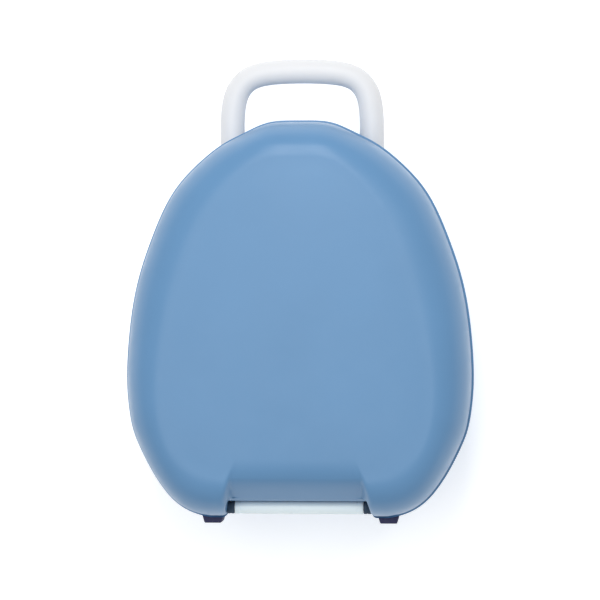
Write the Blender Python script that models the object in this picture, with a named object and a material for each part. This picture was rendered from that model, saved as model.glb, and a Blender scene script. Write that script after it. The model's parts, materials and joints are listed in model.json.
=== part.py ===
"""Portable potty chair with a hinged lid, a carry handle and a push-button latch.

The potty lies on its base with the lid closed: +Z is up, the carry handle is at -Y and the
hinge is at +Y.  Lengths in this file are millimetres, and MM turns them into metres.
"""

import math

import bmesh
import bpy
import numpy as np

MM = 0.001

# ---------------------------------------------------------------- driving dimensions (mm)

# The case outline: half of it, from the nose at the handle round to the hinge end.
CASE_POINTS = [
    (0.0, -125.4), (20.0, -125.1), (29.0, -122.4), (38.0, -117.9), (63.0, -104.2), (92.5, -74.5),
    (111.5, -33.5), (123.0, 8.0), (127.8, 60.0), (124.6, 97.0), (118.4, 114.5), (107.3, 136.0),
    (93.4, 154.3), (78.5, 163.7), (65.0, 166.3),
]
EAR_END_Y = 166.3
EAR_INNER_X = 58.6
NOTCH_TOP_X = 51.4
NOTCH_Y = 153.0
CENTRE_Y = 20.0

PLATEAU_POINTS = [
    (0.0, -99.0), (30.0, -96.5), (54.0, -68.0), (72.0, -30.0), (84.0, 5.0), (93.5, 45.0), (96.0, 80.0),
    (90.0, 110.0), (72.0, 128.0), (45.0, 134.5), (0.0, 135.0),
]
FLOOR_POINTS = [
    (0.0, -76.0), (38.0, -68.0), (66.0, -36.0), (84.0, 10.0), (92.0, 60.0), (88.0, 104.0), (72.0, 132.0),
    (46.0, 144.0), (0.0, 146.0),
]
MOUTH_POINTS = [
    (0.0, -76.0), (36.0, -67.0), (62.0, -35.0), (75.0, 10.0), (77.0, 50.0), (66.0, 88.0), (38.0, 109.0),
    (0.0, 114.0),
]
BOWL_FLOOR_SCALE = 0.62
OUTLINE_STEPS = 22

WALL = 2.6
FLANGE_LIP = 1.6
FLANGE_HEIGHT = 3.0
INNER_WALL = WALL + FLANGE_LIP
GAP = 0.3

PAD_HEIGHT = 3.0
PARTING_Z = 101.0
LID_RIM_Z = PARTING_Z + GAP
LID_SHOULDER_Z = LID_RIM_Z + FLANGE_HEIGHT + 0.7
LID_TOP_Z = 150.8
LID_CROWN = 4.2
SHOULDER_POWER = 2.25
BASE_WALL_Z = 56.0
BASE_FLOOR_Z = PAD_HEIGHT

SCOOP_START_Y = 136.0
SCOOP_LIP_Z = 124.0
SCOOP_HALF_WIDTH = 47.0
SCOOP_SIDE_SLOPE = 4.0
SCOOP_SOFTNESS = 9.0

HINGE_Y = 158.6
HINGE_Z = 110.0
BARREL_RADIUS = 4.8
BARREL_HALF_LENGTH = 47.1
BUSH_RADIUS = 4.6
BUSH_END_X = 52.9
PLATE_HALF_LENGTH = 46.5
PIN_RADIUS = 2.5
PIN_CLEARANCE = 0.1
PIN_HALF_LENGTH = 59.0
KNUCKLE_RADIUS = 7.5
KNUCKLE_END_X = 63.0
EAR_ROUND_RADIUS = 8.1
ROUND_STEPS = 24

HANDLE_RADIUS = 9.0
HANDLE_Z = 76.0
HANDLE_LEG_X = 52.0
HANDLE_END_Y = -83.0
HANDLE_POINTS = [
    (52.0, -125.0), (51.2, -137.0), (48.6, -147.5), (42.6, -156.0), (33.5, -160.7), (20.0, -162.9),
    (0.0, -163.6),
]
HANDLE_HOLE_RADIUS = HANDLE_RADIUS + GAP
PIN_HOLE_RADIUS = 2.0

SEAT_Z = PARTING_Z
BOWL_FLOOR_Z = 14.0
SPLASH_HEIGHT = 18.0
LINER_PLATE_Z = LID_RIM_Z + 1.3
LINER_POCKET_Z = 139.0
SEAL_INNER = 0.30
SEAL_OUTER = 0.42

BUTTON_HALF_WIDTH = 12.0
BUTTON_FRONT_Y = -125.1
BUTTON_LOW_Z = 78.3
BUTTON_HIGH_Z = 91.7
SPRING_Z = 85.0
SPRING_RADIUS = 3.4
SPRING_WIRE = 0.45
SPRING_TURNS = 4.5
SPRING_START_Y = -105.7
SPRING_END_Y = -96.8

SCREW_RADIUS = 1.6
SCREW_HOLE = 1.9
SCREW_HEAD_RADIUS = 3.4
SCREW_HEAD_HEIGHT = 1.9

LID_SCREWS = [(-87.0, -58.0), (87.0, -58.0), (-104.0, 98.0), (104.0, 98.0)]
BASE_SCREWS = [(-34.0, -24.0), (34.0, -24.0), (-38.0, 66.0), (38.0, 66.0)]
FLOOR_PADS = [(-56.0, -30.0), (56.0, -30.0), (-72.0, 100.0), (72.0, 100.0)]
PAD_RADIUS = 9.0
CROSSBAR_SCREW_X = 30.0
CROSSBAR_Y = -88.0
CROSSBAR_HALF_HEIGHT = 10.0
STANDING_FOOT_X = 65.0
STANDING_FOOT_LOW_Z = 72.0
STANDING_FOOT_HIGH_Z = 96.5
STANDING_FOOT_TIP_Y = 171.4
STUD_Z = 78.0
STUD_RADIUS = 3.0

# ---------------------------------------------------------------- materials

BLUE = ("case_blue", (0.205, 0.352, 0.565), 0.42, 0.0)
ICE = ("ice_blue", (0.62, 0.76, 0.87), 0.35, 0.0)
WHITE = ("handle_white", (0.82, 0.84, 0.87), 0.38, 0.0)
NAVY = ("navy_rubber", (0.03, 0.03, 0.10), 0.8, 0.0)
SEAL = ("seal_silicone", (0.55, 0.58, 0.62), 0.7, 0.0)
STEEL = ("steel", (0.58, 0.58, 0.60), 0.3, 1.0)
PALE_GREY = ("inner_grey", (0.55, 0.58, 0.62), 0.5, 0.0)


def make_material(name, recipe):
    """A Principled material of its own for one object."""
    _, colour, roughness, metallic = recipe
    material = bpy.data.materials.new(name + "_" + recipe[0])
    material.use_nodes = True
    shader = material.node_tree.nodes["Principled BSDF"]
    shader.inputs["Base Color"].default_value = (*colour, 1.0)
    shader.inputs["Roughness"].default_value = roughness
    shader.inputs["Metallic"].default_value = metallic
    material.diffuse_color = (*colour, 1.0)
    return material


# ---------------------------------------------------------------- mesh helpers

def clear_scene():
    for thing in list(bpy.data.objects):
        bpy.data.objects.remove(thing, do_unlink=True)


def add_mesh(name, verts, faces, origin=(0.0, 0.0, 0.0)):
    """An object from vertices in millimetres, with its origin at a point in millimetres."""
    shift = np.array(origin)
    mesh = bpy.data.meshes.new(name)
    mesh.from_pydata([tuple((np.array(v) - shift) * MM) for v in verts], [], faces)
    build = bmesh.new()
    build.from_mesh(mesh)
    bmesh.ops.recalc_face_normals(build, faces=build.faces)
    build.to_mesh(mesh)
    build.free()
    thing = bpy.data.objects.new(name, mesh)
    thing.location = tuple(shift * MM)
    bpy.context.collection.objects.link(thing)
    return thing


def add_box(name, low, high, origin=(0.0, 0.0, 0.0)):
    corners = [(x, y, z) for z in (low[2], high[2]) for y in (low[1], high[1]) for x in (low[0], high[0])]
    faces = [(0, 2, 3, 1), (4, 5, 7, 6), (0, 1, 5, 4), (2, 6, 7, 3), (0, 4, 6, 2), (1, 3, 7, 5)]
    return add_mesh(name, corners, faces, origin)


def add_prism(name, profile, low_x, high_x):
    """A (y, z) outline carried along X."""
    count = len(profile)
    verts = [(x, y, z) for x in (low_x, high_x) for y, z in profile]
    faces = [tuple(range(count)), tuple(range(count, 2 * count))]
    faces += [(i, (i + 1) % count, count + (i + 1) % count, count + i) for i in range(count)]
    return add_mesh(name, verts, faces)


def add_turned(name, base, axis, profile, steps=ROUND_STEPS):
    """A (radius, distance) profile turned about an axis letter through the base point.

    The profile starts and ends on the axis.
    """
    order = {"x": (1, 2, 0), "y": (2, 0, 1), "z": (0, 1, 2)}[axis]
    rings = profile[1:-1]
    verts = []
    for radius, distance in rings:
        for step in range(steps):
            angle = 2.0 * math.pi * (step + 0.5) / steps
            local = (radius * math.cos(angle), radius * math.sin(angle), distance)
            point = list(base)
            for value, target in zip(local, order):
                point[target] += value
            verts.append(point)
    tips = []
    for distance in (profile[0][1], profile[-1][1]):
        tip = list(base)
        tip[order[2]] += distance
        tips.append(tip)
    faces = []
    for ring in range(len(rings) - 1):
        for step in range(steps):
            a = ring * steps + step
            b = ring * steps + (step + 1) % steps
            faces.append((a, b, b + steps, a + steps))
    first_tip = len(verts)
    last_ring = (len(rings) - 1) * steps
    for step in range(steps):
        after = (step + 1) % steps
        faces.append((after, step, first_tip))
        faces.append((last_ring + step, last_ring + after, first_tip + 1))
    return add_mesh(name, verts + tips, faces)


def add_rod(name, base, axis, radius, low, high, steps=ROUND_STEPS):
    return add_turned(name, base, axis, [(0.0, low), (radius, low), (radius, high), (0.0, high)], steps)


def add_tube(name, base, axis, inner, outer, low, high, steps=ROUND_STEPS):
    """A ring of square section about an axis letter."""
    body = add_rod(name, base, axis, outer, low, high, steps)
    cut(body, add_rod("bore", base, axis, inner, low - 1.0, high + 1.0, steps))
    return body


def combine(body, tool, operation):
    """One exact Boolean, applied, with its tool removed afterwards."""
    modifier = body.modifiers.new("shape", "BOOLEAN")
    modifier.operation = operation
    modifier.solver = "EXACT"
    modifier.object = tool
    bpy.context.view_layer.update()
    ready = body.evaluated_get(bpy.context.evaluated_depsgraph_get())
    mesh = bpy.data.meshes.new_from_object(ready)
    body.modifiers.clear()
    body.data = mesh
    bpy.data.objects.remove(tool, do_unlink=True)


def cut(body, *tools):
    for tool in tools:
        combine(body, tool, "DIFFERENCE")


def join(body, *tools):
    for tool in tools:
        combine(body, tool, "UNION")


def finish_piece(body, recipe):
    """Weld, shade and colour a finished piece."""
    build = bmesh.new()
    build.from_mesh(body.data)
    bmesh.ops.remove_doubles(build, verts=build.verts, dist=0.000001)
    bmesh.ops.dissolve_degenerate(build, edges=build.edges, dist=0.000001)
    build.to_mesh(body.data)
    build.free()
    body.data.shade_smooth()
    body.data.set_sharp_from_angle(angle=math.radians(35.0))
    body.data.materials.clear()
    body.data.materials.append(make_material(body.name, recipe))
    return body


# ---------------------------------------------------------------- outlines

def smooth_curve(points, samples_per_span=24):
    """A Catmull-Rom curve through the points, flat across the mirror plane at its open start."""
    points = np.array(points)
    first = points[1] * np.array([-1.0, 1.0])
    last = points[-1] + (points[-1] - points[-2])
    padded = np.vstack([first, points, last])
    pieces = []
    for i in range(1, len(padded) - 2):
        p0, p1, p2, p3 = padded[i - 1:i + 3]
        t = np.linspace(0.0, 1.0, samples_per_span, endpoint=False)[:, None]
        pieces.append(0.5 * (2.0 * p1 + (p2 - p0) * t + (2.0 * p0 - 5.0 * p1 + 4.0 * p2 - p3) * t ** 2
                             + (3.0 * p1 - p0 - 3.0 * p2 + p3) * t ** 3))
    return np.vstack(pieces + [padded[-2][None, :]])


def even_steps(curve, count):
    """Points spaced evenly along a curve, from its start to its end."""
    lengths = np.concatenate([[0.0], np.cumsum(np.linalg.norm(np.diff(curve, axis=0), axis=1))])
    wanted = np.linspace(0.0, lengths[-1], count + 1)
    return np.column_stack([np.interp(wanted, lengths, curve[:, k]) for k in (0, 1)])


def mirror_loop(half):
    """A whole loop from a half that starts and ends on the mirror plane."""
    other = half[-2:0:-1] * np.array([-1.0, 1.0])
    return np.vstack([half, other])


def case_loop(inset=0.0):
    """The case outline, set in by a distance, with the notch for the hinge barrel."""
    side = even_steps(smooth_curve(CASE_POINTS), OUTLINE_STEPS)
    ahead = np.gradient(side, axis=0)
    ahead[0] = (1.0, 0.0)
    ahead[-1] = (-1.0, 0.0)
    normal = np.column_stack([-ahead[:, 1], ahead[:, 0]])
    normal /= np.linalg.norm(normal, axis=1)[:, None]
    side = side + normal * inset
    ear = np.array([(EAR_INNER_X, EAR_END_Y), (EAR_INNER_X - 2.4, EAR_END_Y - 1.2),
                    (EAR_INNER_X - 3.5, EAR_END_Y - 3.7), (NOTCH_TOP_X, NOTCH_Y + 1.4),
                    (NOTCH_TOP_X - 1.4, NOTCH_Y)]) + np.array([inset, -inset])
    notch = np.array([(x, NOTCH_Y - inset) for x in (39.0, 26.0, 13.0, 0.0)])
    return mirror_loop(np.vstack([side, ear, notch]))


def egg_loop(points, spread=12):
    """A smaller egg-shaped loop whose points face the points of the case outline."""
    angles = loop_angles(case_loop())
    half_count = len(angles) // 2 + 1
    angles = angles[:half_count]
    for _ in range(spread):
        angles[1:-1] = 0.25 * angles[:-2] + 0.5 * angles[1:-1] + 0.25 * angles[2:]
    angles = np.sort(angles)
    curve = smooth_curve(points)
    curve[-1] = points[-1]
    curve_angles = np.arctan2(curve[:, 0], CENTRE_Y - curve[:, 1])
    radius = np.hypot(curve[:, 0], CENTRE_Y - curve[:, 1])
    wanted = np.interp(angles, curve_angles, radius)
    half = np.column_stack([wanted * np.sin(angles), CENTRE_Y - wanted * np.cos(angles)])
    return mirror_loop(half)


def loop_angles(loop):
    """Angle of each point about the case centre, from the nose round to the hinge end."""
    return np.arctan2(loop[:, 0], CENTRE_Y - loop[:, 1])


def scaled(loop, factor):
    return np.array([0.0, CENTRE_Y]) + (loop - np.array([0.0, CENTRE_Y])) * factor


def blend(start, end, amount):
    return start + (end - start) * amount


def ring(loop, height):
    """A loop at a height, which may differ from point to point."""
    return np.column_stack([loop, np.broadcast_to(height, len(loop))])


def shoulder(wall, flat, wall_z, flat_z, steps, power=SHOULDER_POWER):
    """Rings that round over from a wall to a flat."""
    rings = []
    for step in range(1, steps + 1):
        angle = 0.5 * math.pi * step / steps
        across = 1.0 - max(math.cos(angle), 0.0) ** (2.0 / power)
        along = math.sin(angle) ** (2.0 / power)
        rings.append(ring(blend(wall, flat, across), wall_z + (flat_z - wall_z) * along))
    return rings


def crown(flat, flat_z, height, inner=(0.68, 0.36)):
    """Rings of the gently domed middle of a flat."""
    return [ring(scaled(flat, factor), flat_z + height * (1.0 - factor ** 2)) for factor in inner]


def add_rings(name, rings, start_z, end_z):
    """A closed solid through a row of rings, closed at the case centre at both ends."""
    count = len(rings[0])
    verts = [tuple(point) for row in rings for point in row]
    faces = []
    for row in range(len(rings) - 1):
        for i in range(count):
            a = row * count + i
            b = row * count + (i + 1) % count
            faces.append((a, b, b + count, a + count))
    start = len(verts)
    last = (len(rings) - 1) * count
    for i in range(count):
        after = (i + 1) % count
        faces.append((after, i, start))
        faces.append((last + i, last + after, start + 1))
    verts += [(0.0, CENTRE_Y, start_z), (0.0, CENTRE_Y, end_z)]
    return add_mesh(name, verts, faces)


def soft_minimum(first, second, softness):
    overlap = np.clip(softness - np.abs(first - second), 0.0, None) / softness
    return np.minimum(first, second) - overlap ** 2 * softness * 0.25


def scoop_ring(row, inset=0.0):
    """A ring of the lid, lowered where the scoop above the hinge barrel cuts in."""
    side = np.clip(np.abs(row[:, 0]) - inset - SCOOP_HALF_WIDTH, 0.0, None)
    depth = np.clip((NOTCH_Y - row[:, 1] - inset) / (NOTCH_Y - SCOOP_START_Y), 0.0, 6.0)
    surface = SCOOP_LIP_Z - 0.6 * inset + (LID_TOP_Z - SCOOP_LIP_Z) * depth + SCOOP_SIDE_SLOPE * side
    lowered = soft_minimum(row[:, 2], surface, SCOOP_SOFTNESS)
    return np.column_stack([row[:, :2], lowered])


# ---------------------------------------------------------------- screws

def add_screw(name, point, axis, direction, length):
    """A pan-head screw whose shank starts at a point and runs along an axis, head behind it."""
    head = SCREW_HEAD_HEIGHT * direction
    profile = [(0.0, -head), (SCREW_HEAD_RADIUS * 0.75, -head), (SCREW_HEAD_RADIUS, -0.4 * head),
               (SCREW_HEAD_RADIUS, 0.0), (SCREW_RADIUS, 0.0), (SCREW_RADIUS, (length - 1.2) * direction),
               (SCREW_RADIUS * 0.4, length * direction), (0.0, length * direction)]
    return finish_piece(add_turned(name, point, axis, profile, 10), STEEL)


# ---------------------------------------------------------------- base

def side_names(stem, places):
    """Names for four places, by end and side."""
    names = []
    for x, y in places:
        end = "front" if y < CENTRE_Y else "rear"
        side = "left" if x < 0.0 else "right"
        names.append(stem + "_" + end + "_" + side)
    return names


def build_base_shell():
    """The outer shell of the base, open at the top."""
    rim = case_loop()
    wall = case_loop(FLANGE_LIP)
    floor = egg_loop(FLOOR_POINTS)
    rings = [ring(rim, PARTING_Z), ring(rim, PARTING_Z - FLANGE_HEIGHT),
             ring(wall, PARTING_Z - FLANGE_HEIGHT - 0.7), ring(wall, BASE_WALL_Z)]
    rings += shoulder(wall, floor, BASE_WALL_Z, BASE_FLOOR_Z, 6)
    shell = add_rings("base_shell", rings, PARTING_Z, BASE_FLOOR_Z)

    inner_wall = case_loop(INNER_WALL)
    inner_floor = scaled(floor, 0.98)
    inner = [ring(inner_wall, PARTING_Z + 1.0), ring(inner_wall, BASE_WALL_Z)]
    inner += shoulder(inner_wall, inner_floor, BASE_WALL_Z, BASE_FLOOR_Z + WALL, 5)
    cavity = add_rings("cavity", inner, PARTING_Z + 1.0, BASE_FLOOR_Z + WALL)
    for x in (-20.0, 20.0):
        cut(cavity, add_rod("boss", (x, 0.0, 88.0), "y", 4.5, NOTCH_Y - INNER_WALL - 7.0, NOTCH_Y + 4.0))
    cut(shell, cavity)

    for x in (-HANDLE_LEG_X, HANDLE_LEG_X):
        cut(shell, add_rod("leg_hole", (x, 0.0, HANDLE_Z), "y", HANDLE_HOLE_RADIUS, -135.0, -90.0))
    cut(shell, add_box("window", (-BUTTON_HALF_WIDTH - GAP, -130.0, BUTTON_LOW_Z - GAP),
                       (BUTTON_HALF_WIDTH + GAP, -118.0, BUTTON_HIGH_Z + GAP)))
    for x, y in BASE_SCREWS:
        cut(shell, add_rod("screw_hole", (x, y, 0.0), "z", SCREW_HOLE, 0.0, 10.0, 12))
    for x in (-20.0, 20.0):
        cut(shell, add_rod("screw_hole", (x, 0.0, 88.0), "y", SCREW_HOLE, 138.0, 160.0, 12))
    for x in (-STANDING_FOOT_X, STANDING_FOOT_X):
        cut(shell, add_rod("stud_hole", (x, 0.0, STUD_Z), "y", STUD_RADIUS + GAP, 155.0, 170.0, 16))
    return finish_piece(shell, BLUE)


def splash_lift(loop):
    """How far each point of the seat's inner edge is raised into the splash guard."""
    angles = np.abs(loop_angles(loop))
    reach = np.clip(1.0 - angles / math.radians(52.0), 0.0, 1.0)
    return SPLASH_HEIGHT * reach ** 2 * (3.0 - 2.0 * reach)


def build_bowl_insert():
    """The seat and bowl, one moulding, with the splash guard at its narrow end."""
    edge = case_loop(INNER_WALL + GAP)
    mouth = egg_loop(MOUTH_POINTS)
    low = scaled(mouth, BOWL_FLOOR_SCALE)
    lift = splash_lift(mouth)
    under = SEAT_Z - WALL
    outer_lip = blend(mouth, edge, 0.06)
    rings = [ring(scaled(low, 0.5), BOWL_FLOOR_Z - WALL), ring(low, BOWL_FLOOR_Z - WALL)]
    for rise in (0.06, 0.35, 0.9):
        outside = blend(scaled(low, 1.04), outer_lip, rise ** 0.5)
        rings.append(ring(outside, BOWL_FLOOR_Z - WALL + (under - BOWL_FLOOR_Z) * rise))
    rings += [ring(blend(mouth, edge, 0.10), under - 1.0), ring(blend(mouth, edge, 0.26), under),
              ring(edge, under), ring(edge, SEAT_Z), ring(blend(mouth, edge, 0.45), SEAT_Z),
              ring(blend(mouth, edge, 0.16), SEAT_Z)]
    # The rounded inner edge of the seat, raised at the nose into the splash guard.
    rings += [ring(blend(mouth, edge, 0.11), SEAT_Z - 0.2 + 0.3 * lift),
              ring(blend(mouth, edge, 0.07), SEAT_Z - 0.6 + 0.9 * lift),
              ring(blend(mouth, edge, 0.03), SEAT_Z - 1.6 + lift),
              ring(mouth, SEAT_Z - 4.0 + 0.93 * lift)]
    for rise in (0.9, 0.35, 0.06):
        inside = blend(low, mouth, rise ** 0.5)
        rings.append(ring(inside, BOWL_FLOOR_Z + (SEAT_Z - 6.0 - BOWL_FLOOR_Z) * rise))
    rings += [ring(scaled(low, 0.94), BOWL_FLOOR_Z), ring(scaled(low, 0.5), BOWL_FLOOR_Z)]
    bowl = add_rings("bowl_insert", rings, BOWL_FLOOR_Z - WALL, BOWL_FLOOR_Z)

    for x, y in BASE_SCREWS:
        join(bowl, add_rod("boss", (x, y, 0.0), "z", 5.0, BASE_FLOOR_Z + WALL + GAP, BOWL_FLOOR_Z - 0.8))
        cut(bowl, add_rod("boss_hole", (x, y, 0.0), "z", SCREW_HOLE, 5.0, BOWL_FLOOR_Z - 1.2, 12))
    for x in (-CROSSBAR_SCREW_X, CROSSBAR_SCREW_X):
        boss_z = HANDLE_Z + CROSSBAR_HALF_HEIGHT + GAP
        join(bowl, add_rod("boss", (x, CROSSBAR_Y, 0.0), "z", 5.0, boss_z, SEAT_Z - 0.8))
        hole = add_rod("boss_hole", (x, CROSSBAR_Y, 0.0), "z", SCREW_HOLE, boss_z - 2.0, SEAT_Z - 2.4, 12)
        cut(bowl, hole)
    cut(bowl, add_box("hook_slot", (-8.5, -119.2, 90.0), (8.5, -108.5, 110.0)))
    return finish_piece(bowl, ICE)


def build_floor_pads():
    for name, (x, y) in zip(side_names("floor_pad", FLOOR_PADS), FLOOR_PADS):
        top = PAD_HEIGHT - GAP
        profile = [(0.0, 0.0), (PAD_RADIUS - 1.0, 0.0), (PAD_RADIUS, 1.0), (PAD_RADIUS, top), (0.0, top)]
        finish_piece(add_turned(name, (x, y, 0.0), "z", profile), NAVY)


def build_standing_feet():
    """Rubber feet on the hinge end, for standing the closed case upright."""
    wall_y = EAR_END_Y - FLANGE_LIP + GAP
    tip_y = STANDING_FOOT_TIP_Y
    middle_z = 0.5 * (STANDING_FOOT_LOW_Z + STANDING_FOOT_HIGH_Z)
    for name, x in (("standing_foot_left", -STANDING_FOOT_X), ("standing_foot_right", STANDING_FOOT_X)):
        foot = add_box(name, (x - 8.0, wall_y, STANDING_FOOT_LOW_Z), (x + 8.0, tip_y, STANDING_FOOT_HIGH_Z))
        for vertex in foot.data.vertices:
            if vertex.co.y > 0.5 * (wall_y + tip_y) * MM:
                vertex.co.x += (1.9 if vertex.co.x < x * MM else -1.9) * MM
                vertex.co.z += (1.5 if vertex.co.z < middle_z * MM else -1.5) * MM
        join(foot, add_rod("stud", (x, 0.0, STUD_Z), "y", STUD_RADIUS, wall_y - 6.0, wall_y + 2.0, 16))
        finish_piece(foot, NAVY)


def build_base_screws():
    for name, (x, y) in zip(side_names("base_screw", BASE_SCREWS), BASE_SCREWS):
        add_screw(name, (x, y, PAD_HEIGHT - GAP), "z", 1.0, 9.0)


# ---------------------------------------------------------------- handle

def build_handle():
    """A round tube bent into a loop, its legs running into the base."""
    half = smooth_curve(list(reversed(HANDLE_POINTS)), 3)
    legs = [(HANDLE_LEG_X, -110.0), (HANDLE_LEG_X, HANDLE_END_Y)]
    route = [(x, y) for x, y in half] + legs
    left = [(-x, y) for x, y in reversed(route[1:])]
    whole = left + route
    curve = bpy.data.curves.new("handle_route", "CURVE")
    curve.dimensions = "3D"
    curve.bevel_depth = HANDLE_RADIUS * MM
    curve.bevel_resolution = 3
    curve.use_fill_caps = True
    spline = curve.splines.new("POLY")
    spline.points.add(len(whole) - 1)
    for point, (x, y) in zip(spline.points, whole):
        point.co = (x * MM, y * MM, HANDLE_Z * MM, 1.0)
    guide = bpy.data.objects.new("handle_guide", curve)
    bpy.context.collection.objects.link(guide)
    bpy.context.view_layer.update()
    ready = guide.evaluated_get(bpy.context.evaluated_depsgraph_get())
    mesh = bpy.data.meshes.new_from_object(ready)
    bpy.data.objects.remove(guide, do_unlink=True)
    handle = bpy.data.objects.new("handle", mesh)
    bpy.context.collection.objects.link(handle)
    build = bmesh.new()
    build.from_mesh(mesh)
    bmesh.ops.remove_doubles(build, verts=build.verts, dist=0.00001)
    bmesh.ops.recalc_face_normals(build, faces=build.faces)
    build.to_mesh(mesh)
    build.free()
    for x in (-HANDLE_LEG_X, HANDLE_LEG_X):
        cut(handle, add_rod("pin_hole", (x, CROSSBAR_Y, HANDLE_Z), "z", PIN_HOLE_RADIUS, -15.0, 15.0, 12))
    return finish_piece(handle, WHITE)


def build_handle_crossbar():
    """The bar that holds both handle legs, screwed up into the seat."""
    half = CROSSBAR_HALF_HEIGHT
    bar = add_box("handle_crossbar", (-64.0, -93.5, HANDLE_Z - half), (64.0, -82.5, HANDLE_Z + half))
    for x in (-HANDLE_LEG_X, HANDLE_LEG_X):
        cut(bar, add_rod("leg_hole", (x, 0.0, HANDLE_Z), "y", HANDLE_HOLE_RADIUS, -100.0, -70.0))
        cut(bar, add_rod("pin_hole", (x, CROSSBAR_Y, HANDLE_Z), "z", PIN_HOLE_RADIUS, -15.0, 15.0, 12))
    for x in (-CROSSBAR_SCREW_X, CROSSBAR_SCREW_X):
        cut(bar, add_rod("screw_hole", (x, CROSSBAR_Y, HANDLE_Z), "z", SCREW_HOLE, -15.0, 15.0, 12))
    finish_piece(bar, PALE_GREY)
    for side, sign in (("left", -1.0), ("right", 1.0)):
        centre = (sign * HANDLE_LEG_X, CROSSBAR_Y, HANDLE_Z)
        finish_piece(add_rod("handle_pin_" + side, centre, "z", 1.7, -half, half, 12), STEEL)
        point = (sign * CROSSBAR_SCREW_X, CROSSBAR_Y, HANDLE_Z - half - GAP)
        add_screw("crossbar_screw_" + side, point, "z", 1.0, 31.0)


# ---------------------------------------------------------------- hinge

def build_hinge():
    """The barrel on its screwed plate, the pin through it and a bush at each end."""
    centre = (0.0, HINGE_Y, HINGE_Z)
    plate_y = NOTCH_Y + 0.4
    half = PLATE_HALF_LENGTH
    bracket = add_box("hinge_bracket", (-half, plate_y, 78.0), (half, plate_y + 3.0, 106.8))
    join(bracket, add_rod("barrel", centre, "x", BARREL_RADIUS, -BARREL_HALF_LENGTH, BARREL_HALF_LENGTH))
    for x in (-20.0, 20.0):
        wall_y = NOTCH_Y - FLANGE_LIP + GAP
        join(bracket, add_rod("spacer", (x, 0.0, 88.0), "y", 4.5, wall_y, plate_y + 1.0))
        cut(bracket, add_rod("screw_hole", (x, 0.0, 88.0), "y", SCREW_HOLE, 140.0, 170.0, 12))
    bore = PIN_RADIUS + PIN_CLEARANCE
    cut(bracket, add_rod("bore", centre, "x", bore, -60.0, 60.0))
    finish_piece(bracket, ICE)
    for side, sign in (("left", -1.0), ("right", 1.0)):
        add_screw("bracket_screw_" + side, (sign * 20.0, plate_y + 3.0 + GAP, 88.0), "y", -1.0, 12.5)
        low, high = sorted((sign * (BARREL_HALF_LENGTH + GAP), sign * BUSH_END_X))
        bush = add_tube("hinge_bush_" + side, centre, "x", bore, BUSH_RADIUS, low, high)
        finish_piece(bush, NAVY)
    pin = add_rod("hinge_pin", centre, "x", PIN_RADIUS, -PIN_HALF_LENGTH, PIN_HALF_LENGTH)
    finish_piece(pin, STEEL)


# ---------------------------------------------------------------- latch

def build_latch():
    """The housing behind the nose, the push button, its return spring and the lid's hook."""
    housing = add_box("latch_housing", (-17.5, -120.3, 73.5), (17.5, -94.6, 96.3))
    cut(housing, add_box("cavity", (-15.0, -125.0, 75.8), (15.0, -96.6, 94.2)))
    cut(housing, add_box("hook_slot", (-8.5, -118.6, 90.0), (8.5, -108.0, 100.0)))
    finish_piece(housing, PALE_GREY)

    home = (0.0, BUTTON_FRONT_Y, SPRING_Z)
    half = BUTTON_HALF_WIDTH
    cap_low = (-half, BUTTON_FRONT_Y, BUTTON_LOW_Z)
    button = add_box("latch_button", cap_low, (half, -121.5, BUTTON_HIGH_Z), home)
    join(button, add_box("rail", (-half, -123.0, 80.0), (3.0 - half, -106.0, 91.0)))
    join(button, add_box("rail", (half - 3.0, -123.0, 80.0), (half, -106.0, 91.0)))
    join(button, add_box("back", (-half, -108.0, 79.0), (half, -106.0, 91.5)))
    join(button, add_box("pawl", (-10.0, -111.3, 88.0), (10.0, -107.0, 91.0)))
    join(button, add_box("stop", (-14.0, -120.4, 81.0), (-11.0, -117.8, 90.0)))
    join(button, add_box("stop", (11.0, -120.4, 81.0), (14.0, -117.8, 90.0)))
    finish_piece(button, WHITE)

    hook = add_box("latch_hook", (-7.0, -116.5, 84.0), (7.0, -114.5, 108.0))
    join(hook, add_box("toe", (-7.0, -115.5, 84.0), (7.0, -111.6, 87.0)))
    foot_z = LINER_PLATE_Z + WALL + GAP
    join(hook, add_box("foot", (-9.0, -116.5, foot_z), (9.0, -104.6, foot_z + 3.0)))
    cut(hook, add_rod("screw_hole", (0.0, -108.0, 0.0), "z", SCREW_HOLE, foot_z - 1.0, foot_z + 5.0, 12))
    finish_piece(hook, PALE_GREY)
    add_screw("hook_screw", (0.0, -108.0, foot_z + 3.0 + GAP), "z", -1.0, 5.6)
    build_latch_spring()


def build_latch_spring():
    """A round-wire compression spring between the button and its housing."""
    around = 12
    section = 6
    steps = int(SPRING_TURNS * around)
    length = SPRING_END_Y - SPRING_START_Y - 2.0 * SPRING_WIRE
    verts = []
    for step in range(steps + 1):
        turn = 2.0 * math.pi * step / around
        y = SPRING_START_Y + SPRING_WIRE + length * step / steps
        for side in range(section):
            angle = 2.0 * math.pi * side / section
            radius = SPRING_RADIUS + SPRING_WIRE * math.cos(angle)
            along = y + SPRING_WIRE * math.sin(angle)
            verts.append((radius * math.cos(turn), along, SPRING_Z + radius * math.sin(turn)))
    faces = [tuple(range(section)), tuple(range(steps * section, (steps + 1) * section))]
    for step in range(steps):
        for side in range(section):
            a = step * section + side
            b = step * section + (side + 1) % section
            faces.append((a, b, b + section, a + section))
    finish_piece(add_mesh("latch_spring", verts, faces), STEEL)


# ---------------------------------------------------------------- lid

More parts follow.
